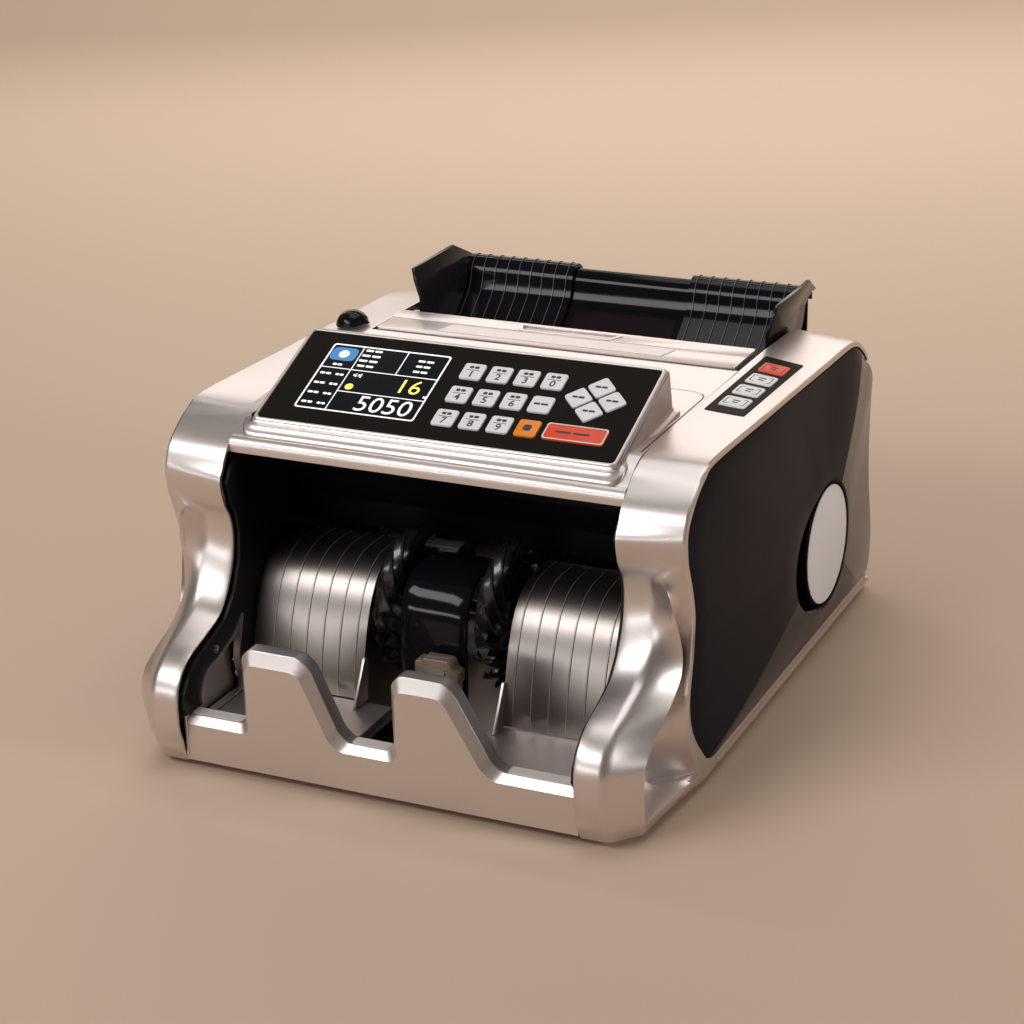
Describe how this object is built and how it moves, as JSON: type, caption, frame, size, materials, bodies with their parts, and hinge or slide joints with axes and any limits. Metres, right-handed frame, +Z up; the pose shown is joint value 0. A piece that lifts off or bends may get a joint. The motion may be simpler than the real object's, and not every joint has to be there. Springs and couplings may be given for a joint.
{
  "type": "banknote counting machine",
  "caption": "Desktop banknote counter with a rear hopper, tilted keypad and display console, front stacker pocket with impeller wheels, wavy legs and a side handwheel.",
  "frame": {"origin": "centre of the footprint on the surface that the feet stand on", "axes": "+X to the machine's right, +Y to its rear, +Z up"},
  "size_m": [0.3112, 0.3705, 0.2039],
  "materials": {
    "rose_gold": "satin metallic rose-gold paint",
    "silver_rose": "brushed silver-rose paint",
    "gloss_black": "gloss black",
    "satin_black": "satin black",
    "keypad_black": "near-black printed panel",
    "screen_glass": "dark display window",
    "key_white": "white key cap",
    "key_red": "red key cap",
    "key_orange": "orange key cap",
    "disc_grey": "light grey disc",
    "steel": "turned steel",
    "frame_steel": "black powder coat",
    "rubber": "soft rubber",
    "board_green": "circuit board"
  },
  "bodies": {
    "chassis": {"base_plate": "rose_gold", "foot_front_left": "rubber", "foot_front_right": "rubber", "foot_rear_left": "rubber", "foot_rear_right": "rubber", "left_shell": "rose_gold", "right_shell": "rose_gold", "left_side_cover": "gloss_black", "right_side_cover": "gloss_black", "left_frame": "frame_steel", "right_frame": "frame_steel", "front_plate": "rose_gold", "stacker_guide_left": "silver_rose", "stacker_guide_right": "silver_rose", "centre_hood": "gloss_black", "cavity_roof": "satin_black", "top_cover": "rose_gold", "console_housing": "rose_gold", "keypad_plate": "keypad_black", "display_screen": "screen_glass", "side_key_plate": "keypad_black", "hopper_tray": "satin_black", "rear_cover": "satin_black", "power_inlet": "satin_black", "drive_motor": "steel", "drive_belt": "rubber", "control_board": "board_green"},
    "main_drive": {"main_shaft": "steel", "feed_roller": "rubber", "handwheel": "disc_grey"},
    "motor_rotor": {"motor_pulley": "steel"},
    "stacker": {"stacker_shaft": "steel", "stacker_wheel_left": "gloss_black", "stacker_wheel_right": "gloss_black"},
    "flap": {"access_flap": "rose_gold"},
    "guide_left": {"hopper_guide_left": "gloss_black"},
    "guide_right": {"hopper_guide_right": "gloss_black"},
    "knob": {"thickness_knob": "gloss_black"},
    "switch": {"power_switch": "satin_black"},
    "panel_key_11_cap": {"panel_key_11": "key_white"},
    "panel_key_12_cap": {"panel_key_12": "key_white"},
    "panel_key_13_cap": {"panel_key_13": "key_white"},
    "panel_key_14_cap": {"panel_key_14": "key_white"},
    "panel_key_21_cap": {"panel_key_21": "key_white"},
    "panel_key_22_cap": {"panel_key_22": "key_white"},
    "panel_key_23_cap": {"panel_key_23": "key_white"},
    "panel_key_24_cap": {"panel_key_24": "key_white"},
    "panel_key_31_cap": {"panel_key_31": "key_white"},
    "panel_key_32_cap": {"panel_key_32": "key_white"},
    "panel_key_33_cap": {"panel_key_33": "key_white"},
    "panel_key_34_cap": {"panel_key_34": "key_orange"},
    "start_key_cap": {"start_key": "key_red"},
    "diamond_key_up_cap": {"diamond_key_up": "key_white"},
    "diamond_key_left_cap": {"diamond_key_left": "key_white"},
    "diamond_key_right_cap": {"diamond_key_right": "key_white"},
    "diamond_key_down_cap": {"diamond_key_down": "key_white"},
    "side_key_1_cap": {"side_key_1": "key_white"},
    "side_key_2_cap": {"side_key_2": "key_white"},
    "side_key_3_cap": {"side_key_3": "key_white"},
    "side_key_4_cap": {"side_key_4": "key_red"}
  },
  "joints": [
    {"name": "main_drive_spin", "type": "hinge", "parent": "chassis", "child": "main_drive", "pos_m": [0, 0.0835, 0.067], "axis": [1, 0, 0], "continuous": true},
    {"name": "motor_spin", "type": "hinge", "parent": "chassis", "child": "motor_rotor", "pos_m": [0, 0.02, 0.045], "axis": [1, 0, 0], "continuous": true},
    {"name": "stacker_spin", "type": "hinge", "parent": "chassis", "child": "stacker", "pos_m": [0, -0.08, 0.073], "axis": [1, 0, 0], "continuous": true},
    {"name": "flap_hinge", "type": "hinge", "parent": "chassis", "child": "flap", "pos_m": [0, 0.053, 0.1766], "axis": [1, 0, 0], "range_deg": [0, 75]},
    {"name": "guide_left_slide", "type": "slide", "parent": "chassis", "child": "guide_left", "axis": [1, 0, 0], "range_m": [0, 0.025]},
    {"name": "guide_right_slide", "type": "slide", "parent": "chassis", "child": "guide_right", "axis": [-1, 0, 0], "range_m": [0, 0.025]},
    {"name": "thickness_knob_turn", "type": "hinge", "parent": "chassis", "child": "knob", "pos_m": [-0.131, 0.0585, 0.17509], "axis": [-0.1355, 0.0162, 0.9906], "range_deg": [-135, 135]},
    {"name": "power_switch_rock", "type": "hinge", "parent": "chassis", "child": "switch", "pos_m": [-0.098, 0.172, 0.042], "axis": [1, 0, 0], "range_deg": [-7, 7]},
    {"name": "panel_key_11_press", "type": "slide", "parent": "chassis", "child": "panel_key_11_cap", "axis": [0, -0.3778, 0.9259], "range_m": [-0.0008, 0], "stiffness_N_per_m": 100, "springref_m": 0.002},
    {"name": "panel_key_12_press", "type": "slide", "parent": "chassis", "child": "panel_key_12_cap", "axis": [0, -0.3778, 0.9259], "range_m": [-0.0008, 0], "stiffness_N_per_m": 100, "springref_m": 0.002},
    {"name": "panel_key_13_press", "type": "slide", "parent": "chassis", "child": "panel_key_13_cap", "axis": [0, -0.3778, 0.9259], "range_m": [-0.0008, 0], "stiffness_N_per_m": 100, "springref_m": 0.002},
    {"name": "panel_key_14_press", "type": "slide", "parent": "chassis", "child": "panel_key_14_cap", "axis": [0, -0.3778, 0.9259], "range_m": [-0.0008, 0], "stiffness_N_per_m": 100, "springref_m": 0.002},
    {"name": "panel_key_21_press", "type": "slide", "parent": "chassis", "child": "panel_key_21_cap", "axis": [0, -0.3778, 0.9259], "range_m": [-0.0008, 0], "stiffness_N_per_m": 100, "springref_m": 0.002},
    {"name": "panel_key_22_press", "type": "slide", "parent": "chassis", "child": "panel_key_22_cap", "axis": [0, -0.3778, 0.9259], "range_m": [-0.0008, 0], "stiffness_N_per_m": 100, "springref_m": 0.002},
    {"name": "panel_key_23_press", "type": "slide", "parent": "chassis", "child": "panel_key_23_cap", "axis": [0, -0.3778, 0.9259], "range_m": [-0.0008, 0], "stiffness_N_per_m": 100, "springref_m": 0.002},
    {"name": "panel_key_24_press", "type": "slide", "parent": "chassis", "child": "panel_key_24_cap", "axis": [0, -0.3778, 0.9259], "range_m": [-0.0008, 0], "stiffness_N_per_m": 100, "springref_m": 0.002},
    {"name": "panel_key_31_press", "type": "slide", "parent": "chassis", "child": "panel_key_31_cap", "axis": [0, -0.3778, 0.9259], "range_m": [-0.0008, 0], "stiffness_N_per_m": 100, "springref_m": 0.002},
    {"name": "panel_key_32_press", "type": "slide", "parent": "chassis", "child": "panel_key_32_cap", "axis": [0, -0.3778, 0.9259], "range_m": [-0.0008, 0], "stiffness_N_per_m": 100, "springref_m": 0.002},
    {"name": "panel_key_33_press", "type": "slide", "parent": "chassis", "child": "panel_key_33_cap", "axis": [0, -0.3778, 0.9259], "range_m": [-0.0008, 0], "stiffness_N_per_m": 100, "springref_m": 0.002},
    {"name": "panel_key_34_press", "type": "slide", "parent": "chassis", "child": "panel_key_34_cap", "axis": [0, -0.3778, 0.9259], "range_m": [-0.0008, 0], "stiffness_N_per_m": 100, "springref_m": 0.002},
    {"name": "start_key_press", "type": "slide", "parent": "chassis", "child": "start_key_cap", "axis": [0, -0.3778, 0.9259], "range_m": [-0.0008, 0], "stiffness_N_per_m": 100, "springref_m": 0.002},
    {"name": "diamond_key_up_press", "type": "slide", "parent": "chassis", "child": "diamond_key_up_cap", "axis": [0, -0.3778, 0.9259], "range_m": [-0.0008, 0], "stiffness_N_per_m": 100, "springref_m": 0.002},
    {"name": "diamond_key_left_press", "type": "slide", "parent": "chassis", "child": "diamond_key_left_cap", "axis": [0, -0.3778, 0.9259], "range_m": [-0.0008, 0], "stiffness_N_per_m": 100, "springref_m": 0.002},
    {"name": "diamond_key_right_press", "type": "slide", "parent": "chassis", "child": "diamond_key_right_cap", "axis": [0, -0.3778, 0.9259], "range_m": [-0.0008, 0], "stiffness_N_per_m": 100, "springref_m": 0.002},
    {"name": "diamond_key_down_press", "type": "slide", "parent": "chassis", "child": "diamond_key_down_cap", "axis": [0, -0.3778, 0.9259], "range_m": [-0.0008, 0], "stiffness_N_per_m": 100, "springref_m": 0.002},
    {"name": "side_key_1_press", "type": "slide", "parent": "chassis", "child": "side_key_1_cap", "axis": [0.1182, 0.0148, 0.9929], "range_m": [-0.0008, 0], "stiffness_N_per_m": 100, "springref_m": 0.002},
    {"name": "side_key_2_press", "type": "slide", "parent": "chassis", "child": "side_key_2_cap", "axis": [0.1182, 0.0148, 0.9929], "range_m": [-0.0008, 0], "stiffness_N_per_m": 100, "springref_m": 0.002},
    {"name": "side_key_3_press", "type": "slide", "parent": "chassis", "child": "side_key_3_cap", "axis": [0.1182, 0.0148, 0.9929], "range_m": [-0.0008, 0], "stiffness_N_per_m": 100, "springref_m": 0.002},
    {"name": "side_key_4_press", "type": "slide", "parent": "chassis", "child": "side_key_4_cap", "axis": [0.1182, 0.0148, 0.9929], "range_m": [-0.0008, 0], "stiffness_N_per_m": 100, "springref_m": 0.002}
  ],
  "couplings": [
    {"joint": "motor_spin", "follows": "main_drive_spin", "ratio": 2.5}
  ]
}
